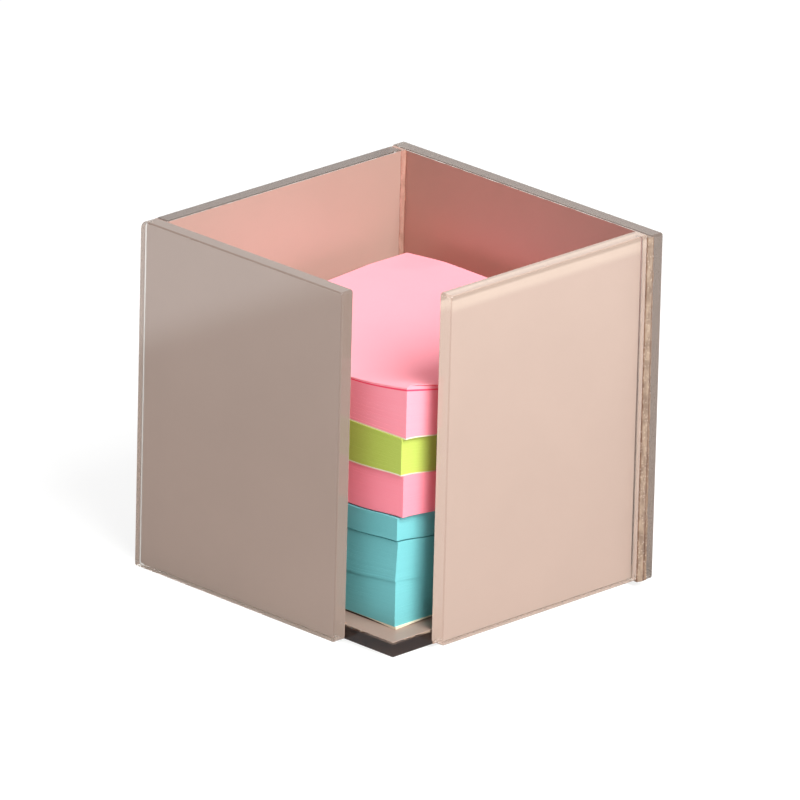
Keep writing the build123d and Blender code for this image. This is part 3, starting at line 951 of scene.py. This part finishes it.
def sheet_material():
    """White paper. The camera and what looks through glass see it as white with the
    shadow on it, gloss sees a painted reflection that glows, and it lights the holder as white paper does."""
    made, tree, out = new_material("white_paper_sheet")
    path = add(tree, "ShaderNodeLightPath").outputs
    place = add(tree, "ShaderNodeTexCoord").outputs["Object"]
    far = add(tree, "ShaderNodeVectorMath", {0: place}, operation="LENGTH")
    glow = add(tree, "ShaderNodeMapRange", {
        "Value": far.outputs["Value"], "From Min": NEAR_SHEET, "From Max": FAR_SHEET,
        "To Min": NEAR_GLOW, "To Max": FAR_GLOW,
    }, interpolation_type="SMOOTHSTEP")
    axes = add(tree, "ShaderNodeSeparateXYZ", {0: place}).outputs
    front_left_glow = add(tree, "ShaderNodeMapRange", {
        "Value": axes[0], "From Min": GLOW_EDGE - GLOW_EDGE_BLUR, "From Max": GLOW_EDGE + GLOW_EDGE_BLUR,
        "To Min": FRONT_LEFT_GLOW, "To Max": 0.0,
    }, interpolation_type="SMOOTHSTEP")
    in_front = add(tree, "ShaderNodeMath", {0: axes[1], 1: GLOW_FRONT}, operation="LESS_THAN")
    glow = add(tree, "ShaderNodeMath", {
        0: front_left_glow.outputs[0], 1: in_front.outputs[0], 2: glow.outputs[0],
    }, operation="MULTIPLY_ADD")
    # What gloss sees: a painted reflection, a glow that is no lamp.
    painted_reflection = add(tree, "ShaderNodeEmission", {0: (1, 1, 1, 1), 1: glow.outputs[0]})
    grain = add(tree, "ShaderNodeTexNoise", {"Vector": place, "Scale": 1 / SHEET_GRAIN, "Detail": 2.0})
    tone = add(tree, "ShaderNodeMapRange", {"Value": grain.outputs[0], "To Min": 0.79, "To Max": 0.81})
    diffuse = add(tree, "ShaderNodeBsdfDiffuse", {0: tone.outputs[0]})
    shadowed = add(tree, "ShaderNodeBsdfDiffuse", {0: (0.3, 0.3, 0.3, 1)})
    bright = add(tree, "ShaderNodeEmission", {0: (1, 1, 1, 1), 1: 0.8})
    white = add(tree, "ShaderNodeAddShader", {0: shadowed.outputs[0], 1: bright.outputs[0]})
    seen = add(tree, "ShaderNodeMath", {
        0: path["Is Camera Ray"], 1: path["Is Transmission Ray"],
    }, operation="MAXIMUM")
    mixed = add(tree, "ShaderNodeMixShader", {
        0: seen.outputs[0], 1: diffuse.outputs[0], 2: white.outputs[0],
    })
    glossy = add(tree, "ShaderNodeMath", {
        0: path["Is Glossy Ray"], 1: path["Is Camera Ray"],
    }, operation="SUBTRACT", use_clamp=True)
    mixed = add(tree, "ShaderNodeMixShader", {
        0: glossy.outputs[0], 1: mixed.outputs[0], 2: painted_reflection.outputs[0],
    })
    tree.links.new(mixed.outputs[0], out.inputs[0])
    return made


sheet_corners = [(x * SHEET, y * SHEET, 0) for x, y in ((-1, -1), (1, -1), (1, 1), (-1, 1))]
table = new_object("paper_sheet", sheet_corners, [(0, 1, 2, 3)], [sheet_material()])
table.location.z = cad_low[2]


# ---------------------------------------------------------------------------
# The light. A white room that is dim on everything that isn't mirrored or seen
# through, a soft key light at the right and a large weak one overhead.

AMBIENT = 0.21
LIT_POINT = Vector((0, 0, 0.05))  # where the lamps look

world = bpy.data.worlds.new("studio")
bpy.context.scene.world = world
world.use_nodes = True
world.node_tree.nodes.clear()
world_path = add(world.node_tree, "ShaderNodeLightPath")
world_strength = add(world.node_tree, "ShaderNodeMapRange", {
    "Value": world_path.outputs["Is Diffuse Ray"], "To Min": 1.0, "To Max": AMBIENT,
})
world_light = add(world.node_tree, "ShaderNodeBackground", {0: (1, 1, 1, 1), 1: world_strength.outputs[0]})
add(world.node_tree, "ShaderNodeOutputWorld", {0: world_light.outputs[0]})


def lamp(name, azimuth, elevation, distance, size, power):
    """A square soft light that looks at the holder. Azimuth 0 is at the front, 90 at
    the right."""
    light = bpy.data.lights.new(name, "AREA")
    light.shape = "SQUARE"
    light.size = size
    light.energy = power
    made = bpy.data.objects.new(name, light)
    a, e = radians(azimuth), radians(elevation)
    spot = Vector((sin(a) * cos(e), -cos(a) * cos(e), sin(e))) * distance + LIT_POINT
    made.location = spot
    made.rotation_euler = (LIT_POINT - spot).to_track_quat("-Z", "Y").to_euler()
    bpy.context.scene.collection.objects.link(made)


lamp("key", azimuth=80, elevation=44, distance=1.0, size=0.62, power=16)
lamp("overhead", azimuth=30, elevation=80, distance=1.2, size=0.9, power=4.8)


# ---------------------------------------------------------------------------
# The camera, where the photograph's was: a long lens far away that looks at the
# open corner. It was fitted to the straight edges of the plates.

AZIMUTH, ELEVATION, ROLL = radians(44.73), radians(20.285), radians(1.433)
DISTANCE = 3.681
TARGET = Vector((0.45 * MM, 0, 51.6 * MM))
PIXELS_PER_MM = 3.686
IMAGE = 800
SLIP_X, SLIP_Y = -1.017, 0.259  # where the target falls, in pixels from the image's centre
SENSOR = 36
CLIP_END = 20

camera_data = bpy.data.cameras.new("camera")
camera_data.sensor_fit = "HORIZONTAL"
camera_data.sensor_width = SENSOR
camera_data.lens = SENSOR * PIXELS_PER_MM * DISTANCE / MM / IMAGE
camera_data.shift_x = -SLIP_X / IMAGE
camera_data.shift_y = SLIP_Y / IMAGE
camera_data.clip_end = CLIP_END
camera = bpy.data.objects.new("camera", camera_data)
back = Vector((sin(AZIMUTH) * cos(ELEVATION), -cos(AZIMUTH) * cos(ELEVATION), sin(ELEVATION)))
right = Vector((cos(AZIMUTH), sin(AZIMUTH), 0))
up = back.cross(right)
rolled_right = right * cos(ROLL) + up * sin(ROLL)
rolled_up = up * cos(ROLL) - right * sin(ROLL)
turn = Matrix((rolled_right, rolled_up, back)).transposed()
camera.matrix_world = Matrix.Translation(TARGET + back * DISTANCE) @ turn.to_4x4()
bpy.context.scene.collection.objects.link(camera)
bpy.context.scene.camera = camera
bpy.context.scene.view_settings.view_transform = "Standard"
